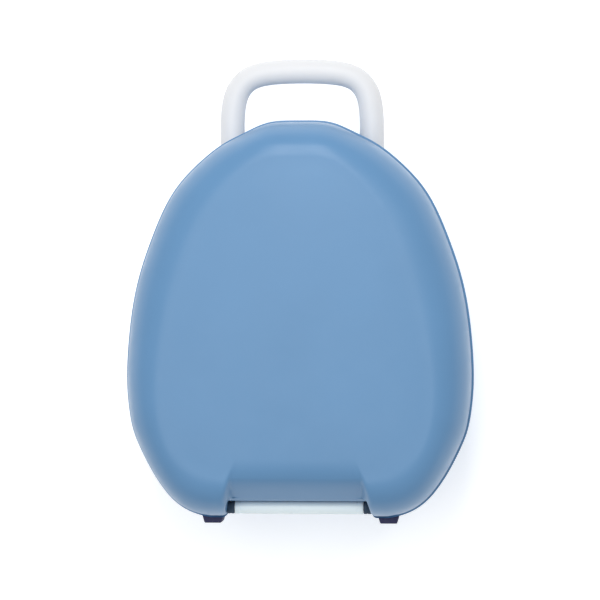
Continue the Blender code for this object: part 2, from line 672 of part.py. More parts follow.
def build_lid_shell():
    """The lid's outer shell: a flat top with wide round shoulders and a scoop at the hinge."""
    rim = case_loop()
    wall = case_loop(FLANGE_LIP)
    flat = egg_loop(PLATEAU_POINTS)
    rings = [ring(rim, LID_RIM_Z), ring(rim, LID_RIM_Z + FLANGE_HEIGHT), ring(wall, LID_SHOULDER_Z)]
    rings += shoulder(wall, flat, LID_SHOULDER_Z, LID_TOP_Z, 7)
    rings += crown(flat, LID_TOP_Z, LID_CROWN)
    rings = [scoop_ring(row) for row in rings]
    shell = add_rings("lid_shell", rings, LID_RIM_Z, LID_TOP_Z + LID_CROWN)

    inner_wall = case_loop(INNER_WALL)
    inner_flat = scaled(flat, 0.985)
    inner_top = LID_TOP_Z - WALL
    inner = [ring(inner_wall, LID_RIM_Z - 1.0), ring(inner_wall, LID_SHOULDER_Z)]
    inner += shoulder(inner_wall, inner_flat, LID_SHOULDER_Z, inner_top, 5)
    inner += crown(inner_flat, inner_top, LID_CROWN, (0.55,))
    inner = [scoop_ring(row, WALL) for row in inner]
    cavity = add_rings("cavity", inner, LID_RIM_Z - 1.0, inner_top + LID_CROWN)
    boss_z = LINER_PLATE_Z + WALL + GAP
    for x, y in LID_SCREWS:
        cut(cavity, add_rod("boss", (x, y, 0.0), "z", 4.0, boss_z, 170.0, 16))
    for low, high in ((-KNUCKLE_END_X, -40.0), (40.0, KNUCKLE_END_X)):
        cut(cavity, add_rod("knuckle", (0.0, HINGE_Y, HINGE_Z), "x", KNUCKLE_RADIUS, low, high))
    cut(shell, cavity)

    bore = PIN_RADIUS + PIN_CLEARANCE
    for low, high in ((-PIN_HALF_LENGTH - GAP, -40.0), (40.0, PIN_HALF_LENGTH + GAP)):
        cut(shell, add_rod("bore", (0.0, HINGE_Y, HINGE_Z), "x", bore, low, high))
    for x, y in LID_SCREWS:
        cut(shell, add_rod("boss_hole", (x, y, 0.0), "z", SCREW_HOLE, boss_z - 1.0, boss_z + 12.0, 12))
    radius = EAR_ROUND_RADIUS
    arc = [math.radians(-90.0 + 9.0 * step) for step in range(11)]
    profile = [(HINGE_Y + radius * math.cos(angle), HINGE_Z + radius * math.sin(angle)) for angle in arc]
    profile += [(HINGE_Y + 20.0, HINGE_Z), (HINGE_Y + 20.0, LID_RIM_Z - 2.0), (HINGE_Y, LID_RIM_Z - 2.0)]
    cut(shell, add_prism("ear_round", profile, -115.0, 115.0))
    return finish_piece(shell, BLUE)


def liner_loop(inset):
    """The liner's edge: the case outline set in, and cut off straight before the hinge."""
    loop = case_loop(inset)
    loop[:, 1] = np.minimum(loop[:, 1], HINGE_Y - 12.0)
    return loop


def build_lid_liner():
    """The lid's inner panel, with a pocket over the seat and a groove for the seal."""
    edge = liner_loop(INNER_WALL + 2.0 * GAP)
    mouth = egg_loop(MOUTH_POINTS)
    pocket = scaled(mouth, 1.10)
    roof = scaled(pocket, 0.86)
    low = LINER_PLATE_Z
    high = LINER_PLATE_Z + WALL
    groove = low + 1.2
    rib = high + 1.2
    top = LINER_POCKET_Z
    rings = [ring(scaled(roof, 0.5), top - WALL), ring(scaled(roof, 0.93), top - WALL),
             ring(scaled(roof, 0.985), top - WALL - 4.0), ring(scaled(pocket, 0.985), low + 6.0),
             ring(pocket, low + 2.0), ring(scaled(pocket, 1.02), low)]
    # The seal's groove, then the liner's edge, then the rib that backs the groove.
    rings += [ring(blend(pocket, edge, SEAL_INNER), low), ring(blend(pocket, edge, SEAL_INNER), groove),
              ring(blend(pocket, edge, SEAL_OUTER), groove), ring(blend(pocket, edge, SEAL_OUTER), low),
              ring(edge, low), ring(edge, high), ring(blend(pocket, edge, SEAL_OUTER + 0.10), high),
              ring(blend(pocket, edge, SEAL_OUTER + 0.06), rib),
              ring(blend(pocket, edge, SEAL_INNER - 0.06), rib),
              ring(blend(pocket, edge, SEAL_INNER - 0.10), high)]
    rings += [ring(scaled(pocket, 1.035), high), ring(scaled(pocket, 1.02), low + 7.0),
              ring(scaled(roof, 1.02), top - 4.0), ring(scaled(roof, 0.97), top),
              ring(scaled(roof, 0.5), top)]
    liner = add_rings("lid_liner", rings, top - WALL, top)
    for x, y in LID_SCREWS:
        cut(liner, add_rod("screw_hole", (x, y, 0.0), "z", SCREW_HOLE, low - 1.0, high + 2.0, 12))
        seat_radius = SCREW_HEAD_RADIUS + GAP
        cut(liner, add_rod("head_seat", (x, y, 0.0), "z", seat_radius, low - 2.0, low + 1.0, 16))
    cut(liner, add_box("hook_slot", (-8.0, -118.0, low - 1.0), (8.0, -113.4, high + 1.0)))
    cut(liner, add_rod("screw_hole", (0.0, -108.0, 0.0), "z", SCREW_HOLE, low + 0.6, high + 1.0, 12))
    return finish_piece(liner, ICE)


def build_lid_seal():
    """The sealing ring in the liner's groove, just clear of the seat."""
    edge = liner_loop(INNER_WALL + 2.0 * GAP)
    pocket = scaled(egg_loop(MOUTH_POINTS), 1.10)
    inner = blend(pocket, edge, SEAL_INNER + 0.015)
    outer = blend(pocket, edge, SEAL_OUTER - 0.015)
    middle = blend(inner, outer, 0.5)
    top = LINER_PLATE_Z + 1.2 - 0.2
    rows = [ring(inner, top), ring(inner, LINER_PLATE_Z - 0.3), ring(middle, SEAT_Z + GAP),
            ring(outer, LINER_PLATE_Z - 0.3), ring(outer, top)]
    count = len(inner)
    verts = [tuple(point) for row in rows for point in row]
    faces = []
    for row in range(len(rows)):
        below = (row + 1) % len(rows)
        for i in range(count):
            after = (i + 1) % count
            faces.append((row * count + i, row * count + after,
                          below * count + after, below * count + i))
    return finish_piece(add_mesh("lid_seal", verts, faces), SEAL)


def build_lid_screws():
    for name, (x, y) in zip(side_names("lid_screw", LID_SCREWS), LID_SCREWS):
        add_screw(name, (x, y, LINER_PLATE_Z + 1.0 - 0.2), "z", 1.0, 11.0)


# ---------------------------------------------------------------- assembly

def place_moving_pieces():
    """Lid pieces hang from an empty on the hinge axis, so that they turn about it."""
    pivot = bpy.data.objects.new("lid_pivot", None)
    pivot.location = (0.0, HINGE_Y * MM, HINGE_Z * MM)
    bpy.context.collection.objects.link(pivot)
    bpy.context.view_layer.update()
    lid_names = ["lid_shell", "lid_liner", "lid_seal", "latch_hook", "hook_screw"]
    lid_names += side_names("lid_screw", LID_SCREWS)
    for name in lid_names:
        piece = bpy.data.objects[name]
        piece.parent = pivot
        piece.matrix_parent_inverse = pivot.matrix_world.inverted()


def main():
    clear_scene()
    build_base_shell()
    build_bowl_insert()
    build_floor_pads()
    build_standing_feet()
    build_base_screws()
    build_handle()
    build_handle_crossbar()
    build_hinge()
    build_latch()
    build_lid_shell()
    build_lid_liner()
    build_lid_seal()
    build_lid_screws()
    place_moving_pieces()


main()
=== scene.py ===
"""Looks of the portable potty chair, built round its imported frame.

Lengths are millimetres unless a name says otherwise, and MM turns them into metres.  The shapes
follow the CAD part: +Z is up, the carry handle is at -Y and the hinge is at +Y.
"""

import json
import math

import bmesh
import bpy
import numpy as np
from mathutils import Matrix, Vector


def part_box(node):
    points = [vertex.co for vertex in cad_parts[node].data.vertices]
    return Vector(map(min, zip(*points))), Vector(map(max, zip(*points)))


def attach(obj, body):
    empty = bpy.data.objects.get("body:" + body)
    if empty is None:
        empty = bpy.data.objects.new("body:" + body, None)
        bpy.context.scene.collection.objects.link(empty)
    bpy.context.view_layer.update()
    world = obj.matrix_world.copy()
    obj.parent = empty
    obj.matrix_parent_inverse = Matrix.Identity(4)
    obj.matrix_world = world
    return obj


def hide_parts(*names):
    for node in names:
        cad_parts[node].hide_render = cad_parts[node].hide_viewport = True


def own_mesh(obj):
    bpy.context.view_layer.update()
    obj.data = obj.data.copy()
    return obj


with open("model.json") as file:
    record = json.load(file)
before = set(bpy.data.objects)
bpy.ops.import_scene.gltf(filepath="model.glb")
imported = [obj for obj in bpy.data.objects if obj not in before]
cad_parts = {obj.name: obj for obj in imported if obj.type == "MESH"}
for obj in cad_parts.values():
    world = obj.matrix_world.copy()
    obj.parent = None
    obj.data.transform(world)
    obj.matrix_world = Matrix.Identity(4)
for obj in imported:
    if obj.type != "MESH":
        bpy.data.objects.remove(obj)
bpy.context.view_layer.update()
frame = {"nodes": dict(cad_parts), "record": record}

MM = 0.001

# ---------------------------------------------------------------- sizes (mm)

CASE_POINTS = [
    (0.0, -125.4), (20.0, -125.1), (29.0, -122.4), (38.0, -117.9), (63.0, -104.2), (92.5, -74.5),
    (111.5, -33.5), (123.0, 8.0), (127.8, 60.0), (124.6, 97.0), (118.4, 114.5), (107.3, 136.0),
    (93.4, 154.3), (78.5, 163.7), (65.0, 166.3),
]
EAR_CORNER = (53.4, 166.3)
NOTCH_CORNER = (51.9, 153.0)
EAR_CORNER_RADIUS = 4.0
NOTCH_CORNER_RADIUS = 1.2
CENTRE_Y = 20.0

PLATEAU_POINTS = [
    (0.0, -94.5), (28.0, -91.5), (53.0, -66.0), (72.0, -30.0), (84.0, 5.0), (93.5, 45.0), (96.0, 80.0),
    (90.0, 110.0), (72.0, 128.0), (45.0, 134.5), (0.0, 135.0),
]
FLOOR_POINTS = [
    (0.0, -76.0), (38.0, -68.0), (66.0, -36.0), (84.0, 10.0), (92.0, 60.0), (88.0, 104.0), (72.0, 132.0),
    (46.0, 144.0), (0.0, 146.0),
]
MOUTH_POINTS = [
    (0.0, -76.0), (36.0, -67.0), (62.0, -35.0), (75.0, 10.0), (77.0, 50.0), (66.0, 88.0), (38.0, 109.0),
    (0.0, 114.0),
]
SIDE_STEPS = 110
NOTCH_STEPS = 18
CORNER_STEPS = 7
CURVE_STEPS = 60
EGG_STEPS = 400
EASING_ROUNDS = 400
BOWL_FLOOR_SCALE = 0.62
BOWL_FLOOR_Z = 14.0

WALL = 2.6
LIP = 1.6
INNER_WALL = WALL + LIP
GAP = 0.3

BASE_LOW, BASE_HIGH = (1000.0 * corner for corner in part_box("base_shell"))
LID_LOW, LID_HIGH = (1000.0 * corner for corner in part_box("lid_shell"))
FLOOR_Z = BASE_LOW.z
PARTING_Z = BASE_HIGH.z
LID_RIM_Z = LID_LOW.z
LID_CROWN = 4.2
LID_TOP_Z = LID_HIGH.z - LID_CROWN
WALL_TOP_Z = LID_RIM_Z + 4.7
BASE_WALL_Z = 56.0
SHOULDER_POWER = 2.25

SCOOP_START_Y = 136.0
SCOOP_LIP_Z = 124.0
SCOOP_HALF_WIDTH = 47.0
SCOOP_SIDE_SLOPE = 4.0
SCOOP_SOFTNESS = 12.0

HINGE_Y = 158.6
HINGE_Z = 110.0
BARREL_RADIUS = 4.8
BARREL_HALF_LENGTH = 47.1
EAR_ROUND_RADIUS = 8.1
BUSH_RADIUS = 4.6
BORE_RADIUS = 2.6
PLATE_HALF_LENGTH = 46.5
LOWER_PLATE_HALF_LENGTH = 51.0

HANDLE_RADIUS = 9.0
HANDLE_Z = 76.0
HANDLE_LEG_X = 52.0
HANDLE_POINTS = [
    (0.0, -163.6), (20.0, -162.9), (33.5, -160.7), (42.6, -156.0), (48.6, -147.5), (51.2, -137.0),
    (52.0, -125.0),
]

BUTTON_HALF_WIDTH = 12.0
BUTTON_FRONT_Y = -125.1
BUTTON_LOW_Z = 78.3
BUTTON_HIGH_Z = 91.7
DISH_RADIUS = 24.0
DISH_DEPTH = 1.0
DISH_STEPS = 6
CARRIER_REAR_Y = -106.0
SPRING_WIRE = 0.45
SPRING_TURNS = 5.5
SPRING_STEPS = 28

SPLASH_HEIGHT = 18.0
SPLASH_ANGLE = math.radians(52.0)
SEAL_INNER = 0.30
SEAL_OUTER = 0.42
LINER_PLATE_Z = LID_RIM_Z + 1.3
LINER_POCKET_Z = 139.0


# ---------------------------------------------------------------- materials

def node_material(name):
    material = bpy.data.materials.new(name)
    material.use_nodes = True
    shader = material.node_tree.nodes["Principled BSDF"]
    return material, material.node_tree, shader


def noise_node(tree, coordinates, scale, detail=3.0, roughness=0.5):
    noise = tree.nodes.new("ShaderNodeTexNoise")
    noise.inputs["Scale"].default_value = scale
    noise.inputs["Detail"].default_value = detail
    noise.inputs["Roughness"].default_value = roughness
    tree.links.new(coordinates, noise.inputs["Vector"])
    return noise.outputs["Fac"]


def map_range(tree, value, low, high, from_low=0.3, from_high=0.7):
    node = tree.nodes.new("ShaderNodeMapRange")
    node.inputs["From Min"].default_value = from_low
    node.inputs["From Max"].default_value = from_high
    node.inputs["To Min"].default_value = low
    node.inputs["To Max"].default_value = high
    tree.links.new(value, node.inputs["Value"])
    return node.outputs["Result"]


def tinted(tree, fraction, first, second):
    mix = tree.nodes.new("ShaderNodeMix")
    mix.data_type = "RGBA"
    mix.inputs["A"].default_value = (*first, 1.0)
    mix.inputs["B"].default_value = (*second, 1.0)
    tree.links.new(fraction, mix.inputs["Factor"])
    return mix.outputs["Result"]


def bumped(tree, shader, heights):
    """Chains bumps: each height is (value socket, strength, distance in metres)."""
    normal = None
    for value, strength, distance in heights:
        bump = tree.nodes.new("ShaderNodeBump")
        bump.inputs["Strength"].default_value = strength
        bump.inputs["Distance"].default_value = distance
        tree.links.new(value, bump.inputs["Height"])
        if normal is not None:
            tree.links.new(normal, bump.inputs["Normal"])
        normal = bump.outputs["Normal"]
    tree.links.new(normal, shader.inputs["Normal"])


def moulded_plastic(name, colour, roughness, grain=0.12, mottle=0.03, subsurface=0.0):
    """Injection-moulded plastic: fine spark grain, faint flow mottling and uneven polish."""
    material, tree, shader = node_material(name)
    place = tree.nodes.new("ShaderNodeTexCoord").outputs["Object"]
    cloud = noise_node(tree, place, 14.0, 4.0)
    speck = noise_node(tree, place, 900.0, 2.0)
    dark = tuple(channel * (1.0 - mottle) for channel in colour)
    light = tuple(min(channel * (1.0 + mottle), 1.0) for channel in colour)
    broad = map_range(tree, cloud, 0.0, 0.85)
    fine = map_range(tree, speck, 0.0, 0.15)
    add = tree.nodes.new("ShaderNodeMath")
    add.operation = "ADD"
    tree.links.new(broad, add.inputs[0])
    tree.links.new(fine, add.inputs[1])
    tree.links.new(tinted(tree, add.outputs[0], dark, light), shader.inputs["Base Color"])
    polish = noise_node(tree, place, 60.0, 5.0, 0.6)
    tree.links.new(map_range(tree, polish, roughness - 0.05, roughness + 0.05), shader.inputs["Roughness"])
    shader.inputs["IOR"].default_value = 1.36
    if subsurface:
        shader.inputs["Subsurface Weight"].default_value = subsurface
        shader.inputs["Subsurface Radius"].default_value = (0.9, 1.0, 1.1)
        shader.inputs["Subsurface Scale"].default_value = 0.002
    spark = noise_node(tree, place, 2600.0, 2.0)
    ripple = noise_node(tree, place, 30.0, 2.0)
    bumped(tree, shader, [(spark, grain, 0.0001), (ripple, 0.05, 0.0008)])
    return material


def soft_rubber(name, colour, roughness=0.75):
    """Matt rubber with a dusty bloom and a fine pebbled skin."""
    material, tree, shader = node_material(name)
    place = tree.nodes.new("ShaderNodeTexCoord").outputs["Object"]
    dust = noise_node(tree, place, 220.0, 6.0, 0.65)
    pale = tuple(0.75 * channel + 0.05 for channel in colour)
    bloom = map_range(tree, dust, 0.0, 0.8)
    tree.links.new(tinted(tree, bloom, colour, pale), shader.inputs["Base Color"])
    tree.links.new(map_range(tree, dust, roughness - 0.08, roughness + 0.12), shader.inputs["Roughness"])
    shader.inputs["Specular IOR Level"].default_value = 0.35
    pebble = noise_node(tree, place, 1500.0, 3.0)
    bumped(tree, shader, [(pebble, 0.35, 0.0001)])
    return material


def plated_steel(name, colour, roughness):
    """Plated steel with fine drawing lines and a few duller patches."""
    material, tree, shader = node_material(name)
    place = tree.nodes.new("ShaderNodeTexCoord").outputs["Object"]
    patch = noise_node(tree, place, 300.0, 5.0, 0.7)
    dull = tuple(0.72 * channel for channel in colour)
    wear = map_range(tree, patch, 0.0, 0.7)
    tree.links.new(tinted(tree, wear, colour, dull), shader.inputs["Base Color"])
    tree.links.new(map_range(tree, patch, roughness - 0.08, roughness + 0.15), shader.inputs["Roughness"])
    shader.inputs["Metallic"].default_value = 1.0
    stretch = tree.nodes.new("ShaderNodeMapping")
    stretch.inputs["Scale"].default_value = (1.0, 1.0, 12.0)
    tree.links.new(place, stretch.inputs["Vector"])
    lines = noise_node(tree, stretch.outputs["Vector"], 900.0, 3.0)
    bumped(tree, shader, [(lines, 0.15, 0.00005)])
    return material


CASE_BLUE = moulded_plastic("case_blue_plastic", (0.126, 0.270, 0.468), 0.33, 0.06)
BASE_BLUE = moulded_plastic("base_blue_plastic", (0.145, 0.285, 0.490), 0.42)
ICE_BLUE = moulded_plastic("ice_blue_plastic", (0.84, 0.95, 1.0), 0.30, 0.06, 0.015, 0.2)
LINER_BLUE = moulded_plastic("liner_plastic", (0.62, 0.76, 0.87), 0.36, 0.10, 0.02, 0.15)
HANDLE_WHITE = moulded_plastic("handle_white_plastic", (0.74, 0.745, 0.76), 0.42, 0.10, 0.015, 0.1)
INNER_GREY = moulded_plastic("inner_grey_plastic", (0.55, 0.58, 0.62), 0.5)
NAVY = soft_rubber("navy_rubber", (0.03, 0.03, 0.10))
# The bushes' dark teal is painted shade: it stands in for the shaded gap between the barrel's ends and the
# lid's ears.
BUSH_PAINTED_SHADE = soft_rubber("bush_painted_shade_rubber", (0.018, 0.05, 0.095))
SILICONE = soft_rubber("seal_silicone", (0.55, 0.58, 0.62), 0.6)
STEEL = plated_steel("plated_steel", (0.56, 0.57, 0.59), 0.3)


# ---------------------------------------------------------------- mesh helpers

def add_piece(name, verts, faces, material, smooth_angle=40.0):
    """A shaded object from vertices in millimetres."""
    mesh = bpy.data.meshes.new(name)
    mesh.from_pydata([(x * MM, y * MM, z * MM) for x, y, z in verts], [], faces)
    build = bmesh.new()
    build.from_mesh(mesh)
    bmesh.ops.recalc_face_normals(build, faces=build.faces)
    build.to_mesh(mesh)
    build.free()
    piece = bpy.data.objects.new(name, mesh)
    bpy.context.scene.collection.objects.link(piece)
    return dress(piece, material, smooth_angle)


def dress(piece, material, smooth_angle=40.0):
    piece.data.materials.clear()
    if material:
        piece.data.materials.append(material)
    piece.data.shade_smooth()
    piece.data.set_sharp_from_angle(angle=math.radians(smooth_angle))
    return piece


def boolean(body, tool, operation="DIFFERENCE"):
    """One exact Boolean, applied, with its tool removed."""
    modifier = body.modifiers.new("shape", "BOOLEAN")
    modifier.operation = operation
    modifier.solver = "EXACT"
    modifier.object = tool
    bpy.context.view_layer.update()
    ready = body.evaluated_get(bpy.context.evaluated_depsgraph_get())
    mesh = bpy.data.meshes.new_from_object(ready)
    body.modifiers.clear()
    body.data = mesh
    bpy.data.objects.remove(tool, do_unlink=True)


def ring_solid(name, rings, start_z, end_z, material, smooth_angle=40.0):
    """A closed solid through a row of rings, closed at the case centre at both ends."""
    count = len(rings[0])
    verts = [tuple(point) for row in rings for point in row]
    faces = []
    for row in range(len(rings) - 1):
        for i in range(count):
            a = row * count + i
            b = row * count + (i + 1) % count
            faces.append((a, b, b + count, a + count))
    start = len(verts)
    last = (len(rings) - 1) * count
    for i in range(count):
        after = (i + 1) % count
        faces.append((after, i, start))
        faces.append((last + i, last + after, start + 1))
    verts += [(0.0, CENTRE_Y, start_z), (0.0, CENTRE_Y, end_z)]
    return add_piece(name, verts, faces, material, smooth_angle)


def turned(name, base, axis, profile, material, steps=64, smooth_angle=40.0):
    """A (radius, distance) profile, starting and ending on the axis, turned about it."""
    order = {"x": (1, 2, 0), "y": (2, 0, 1), "z": (0, 1, 2)}[axis]
    rings = profile[1:-1]
    verts = []
    for radius, distance in rings:
        for step in range(steps):
            angle = 2.0 * math.pi * (step + 0.5) / steps
            point = list(base)
            for value, target in zip((radius * math.cos(angle), radius * math.sin(angle), distance), order):
                point[target] += value
            verts.append(point)
    for distance in (profile[0][1], profile[-1][1]):
        tip = list(base)
        tip[order[2]] += distance
        verts.append(tip)
    faces = []
    for ring_index in range(len(rings) - 1):
        for step in range(steps):
            a = ring_index * steps + step
            b = ring_index * steps + (step + 1) % steps
            faces.append((a, b, b + steps, a + steps))
    first_tip = len(rings) * steps
    last_ring = first_tip - steps
    for step in range(steps):
        after = (step + 1) % steps
        faces.append((after, step, first_tip))
        faces.append((last_ring + step, last_ring + after, first_tip + 1))
    return add_piece(name, verts, faces, material, smooth_angle)


def round_box(name, low, high, radius, material=None, segments=4):
    """A box with rounded edges."""
    build = bmesh.new()
    bmesh.ops.create_cube(build, size=1.0)
    for vertex in build.verts:
        for k in range(3):
            vertex.co[k] = (low[k] if vertex.co[k] < 0.0 else high[k]) * MM
    bmesh.ops.bevel(build, geom=build.edges[:], offset=radius * MM, segments=segments, profile=0.5,
                    affect="EDGES")
    mesh = bpy.data.meshes.new(name)
    build.to_mesh(mesh)
    build.free()
    piece = bpy.data.objects.new(name, mesh)
    bpy.context.scene.collection.objects.link(piece)
    return dress(piece, material, 50.0)


# ---------------------------------------------------------------- outlines

def smooth_curve(points):
    """A Catmull-Rom curve through the points, flat across the mirror plane at its start."""
    points = np.array(points)
    first = points[1] * np.array([-1.0, 1.0])
    last = points[-1] + (points[-1] - points[-2])
    padded = np.vstack([first, points, last])
    pieces = []
    for i in range(1, len(padded) - 2):
        p0, p1, p2, p3 = padded[i - 1:i + 3]
        t = np.linspace(0.0, 1.0, CURVE_STEPS, endpoint=False)[:, None]
        pieces.append(0.5 * (2.0 * p1 + (p2 - p0) * t + (2.0 * p0 - 5.0 * p1 + 4.0 * p2 - p3) * t ** 2
                             + (3.0 * p1 - p0 - 3.0 * p2 + p3) * t ** 3))
    return np.vstack(pieces + [padded[-2][None, :]])


def relaxed(curve, rounds):
    """A curve with its small bends eased, its ends kept."""
    curve = curve.copy()
    for _ in range(rounds):
        curve[1:-1] = 0.25 * curve[:-2] + 0.5 * curve[1:-1] + 0.25 * curve[2:]
    return curve


def even_steps(curve, count):
    lengths = np.concatenate([[0.0], np.cumsum(np.linalg.norm(np.diff(curve, axis=0), axis=1))])
    wanted = np.linspace(0.0, lengths[-1], count + 1)
    return np.column_stack([np.interp(wanted, lengths, curve[:, k]) for k in (0, 1)])


def mirror_loop(half):
    other = half[-2:0:-1] * np.array([-1.0, 1.0])
    return np.vstack([half, other])


def rounded_corner(before, corner, after, radius):
    """Points of the arc that rounds a corner between two straight lines."""
    before, corner, after = (np.array(p) for p in (before, corner, after))
    to_before = (before - corner) / np.linalg.norm(before - corner)
    to_after = (after - corner) / np.linalg.norm(after - corner)
    half_angle = 0.5 * math.acos(float(np.clip(np.dot(to_before, to_after), -1.0, 1.0)))
    reach = radius / math.tan(half_angle)
    start = corner + to_before * reach
    end = corner + to_after * reach
    middle = (to_before + to_after) / np.linalg.norm(to_before + to_after)
    centre = corner + middle * radius / math.sin(half_angle)
    shares = np.linspace(0.0, 1.0, CORNER_STEPS + 1)[:, None]
    spokes = (start - centre) * (1.0 - shares) + (end - centre) * shares
    return centre + spokes / np.linalg.norm(spokes, axis=1)[:, None] * radius


def case_loop(inset=0.0):
    """The case outline, set in by a distance, with the notch for the hinge barrel.

    The lip stops at the notch, so the notch walls move in only by what is left of the inset.
    """
    side = even_steps(smooth_curve(CASE_POINTS), SIDE_STEPS)
    side = relaxed(side, 6)
    ahead = np.gradient(side, axis=0)
    ahead[0] = (1.0, 0.0)
    ahead[-1] = (-1.0, 0.0)
    normal = np.column_stack([-ahead[:, 1], ahead[:, 0]])
    normal /= np.linalg.norm(normal, axis=1)[:, None]
    side = side + normal * inset
    inward = max(inset - LIP, 0.0)
    ear = (EAR_CORNER[0] + inward, EAR_CORNER[1] - inset)
    notch = (NOTCH_CORNER[0] + inward, NOTCH_CORNER[1] - inward)
    middle = np.array([0.0, notch[1]])
    ear_arc = rounded_corner(side[-1], ear, notch, max(EAR_CORNER_RADIUS - 0.4 * inset, 0.5))
    notch_arc = rounded_corner(ear, notch, middle, NOTCH_CORNER_RADIUS + 0.5 * inset)
    cheek = [blend(ear_arc[-1], notch_arc[0], t) for t in np.linspace(0.0, 1.0, 8)[1:-1]]
    floor = [blend(notch_arc[-1], middle, t) for t in np.linspace(0.0, 1.0, NOTCH_STEPS + 1)[1:]]
    return mirror_loop(np.vstack([side, ear_arc, cheek, notch_arc, floor]))


def loop_angles(loop):
    """Angle of each point about the case centre, from the nose round to the hinge end."""
    return np.arctan2(loop[:, 0], CENTRE_Y - loop[:, 1])


def egg_loop(points):
    """A smaller egg-shaped loop whose points face the points of the case outline."""
    angles = loop_angles(case_loop())
    angles = angles[:len(angles) // 2 + 1]
    for _ in range(EASING_ROUNDS):
        angles[1:-1] = 0.25 * angles[:-2] + 0.5 * angles[1:-1] + 0.25 * angles[2:]
    curve = even_steps(relaxed(smooth_curve(points), 300), EGG_STEPS)
    curve_angles = np.arctan2(curve[:, 0], CENTRE_Y - curve[:, 1])
    radius = np.hypot(curve[:, 0], CENTRE_Y - curve[:, 1])
    wanted = np.interp(angles, curve_angles, radius)
    half = np.column_stack([wanted * np.sin(angles), CENTRE_Y - wanted * np.cos(angles)])
    half[0, 0] = 0.0
    half[-1, 0] = 0.0
    return mirror_loop(half)


def scaled(loop, factor):
    return np.array([0.0, CENTRE_Y]) + (loop - np.array([0.0, CENTRE_Y])) * factor


def blend(start, end, amount):
    return start + (end - start) * amount


def ring(loop, height):
    return np.column_stack([loop, np.broadcast_to(height, len(loop))])


def shoulder(wall, flat, wall_z, flat_z, steps):
    """Rings that round over from a wall to a flat."""
    rings = []
    for step in range(1, steps + 1):
        angle = 0.5 * math.pi * step / steps
        across = 1.0 - max(math.cos(angle), 0.0) ** (2.0 / SHOULDER_POWER)
        along = math.sin(angle) ** (2.0 / SHOULDER_POWER)
        rings.append(ring(blend(wall, flat, across), wall_z + (flat_z - wall_z) * along))
    return rings


def crown(flat, flat_z, height, steps):
    """Rings of the gently domed middle of a flat."""
    factors = [1.0 - (step / (steps + 0.5)) for step in range(1, steps + 1)]
    return [ring(scaled(flat, factor), flat_z + height * (1.0 - factor ** 2)) for factor in factors]


def soft_minimum(first, second, softness):
    overlap = np.clip(softness - np.abs(first - second), 0.0, None) / softness
    return np.minimum(first, second) - overlap ** 2 * softness * 0.25


def scooped(row, inset=0.0):
    """A ring of the lid, lowered where the scoop above the hinge barrel cuts in."""
    notch_y = NOTCH_CORNER[1]
    side = np.clip(np.abs(row[:, 0]) - inset - SCOOP_HALF_WIDTH, 0.0, None)
    depth = np.clip((notch_y - row[:, 1] - inset) / (notch_y - SCOOP_START_Y), 0.0, 6.0)
    surface = SCOOP_LIP_Z - 0.6 * inset + (LID_TOP_Z - SCOOP_LIP_Z) * depth + SCOOP_SIDE_SLOPE * side
    return np.column_stack([row[:, :2], soft_minimum(row[:, 2], surface, SCOOP_SOFTNESS)])


def notch_rise(loop):
    """How much higher the lid's wall stands behind the hinge barrel."""
    middle = np.clip((54.0 - np.abs(loop[:, 0])) / 6.0, 0.0, 1.0)
    behind = np.clip(loop[:, 1] - NOTCH_CORNER[1] + 3.0, 0.0, 1.0)
    return (SCOOP_LIP_Z - WALL_TOP_Z) * middle * behind


def eared(row):
    """A ring of the lid with its ears rounded about the hinge axis, so that they clear the base."""
    across = np.clip(row[:, 1] - HINGE_Y, 0.0, EAR_ROUND_RADIUS)
    lowest = HINGE_Z - np.sqrt(EAR_ROUND_RADIUS ** 2 - across ** 2)
    height = np.where(row[:, 1] > HINGE_Y, np.maximum(row[:, 2], lowest), row[:, 2])
    return np.column_stack([row[:, :2], height])


# ---------------------------------------------------------------- case shells

def lip_profile(rim_z, way):
    """(inset, height) of a case rim with its lip: way is +1 for the lid, -1 for the base."""
    steps = [(2.6, 0.0), (0.55, 0.0), (0.2, 0.12), (0.03, 0.4), (0.0, 0.8), (0.0, 2.3), (0.06, 2.65),
             (0.25, 2.9), (0.6, 3.0), (1.0, 3.05), (1.3, 3.2), (1.5, 3.55), (LIP, 4.1), (LIP, 4.7)]
    return [(inset, rim_z + way * rise) for inset, rise in steps]


def build_lid_case():
    """The lid's outer shell, a closed skin with its rounded ears."""
    flat = egg_loop(PLATEAU_POINTS)
    outer = [ring(case_loop(inset), z) for inset, z in lip_profile(LID_RIM_Z, 1.0)]
    wall = case_loop(LIP)
    outer += shoulder(wall, flat, WALL_TOP_Z + notch_rise(wall), LID_TOP_Z, 44)
    outer += crown(flat, LID_TOP_Z, LID_CROWN, 16)
    outer = [eared(scooped(row)) for row in outer]
    inner_flat = scaled(flat, 0.985)
    inner_top = LID_TOP_Z - WALL
    inner = [ring(case_loop(INNER_WALL), z) for z in (LID_RIM_Z, WALL_TOP_Z)]
    inner += shoulder(case_loop(INNER_WALL), inner_flat, WALL_TOP_Z, inner_top, 20)
    inner += crown(inner_flat, inner_top, LID_CROWN, 5)
    inner = [eared(scooped(row, WALL)) for row in inner]
    rings = outer[::-1] + inner
    lid = ring_solid("lid_case", rings, LID_TOP_Z + LID_CROWN, inner_top + LID_CROWN, CASE_BLUE, 50.0)
    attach(lid, "lid")
    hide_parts("lid_shell")


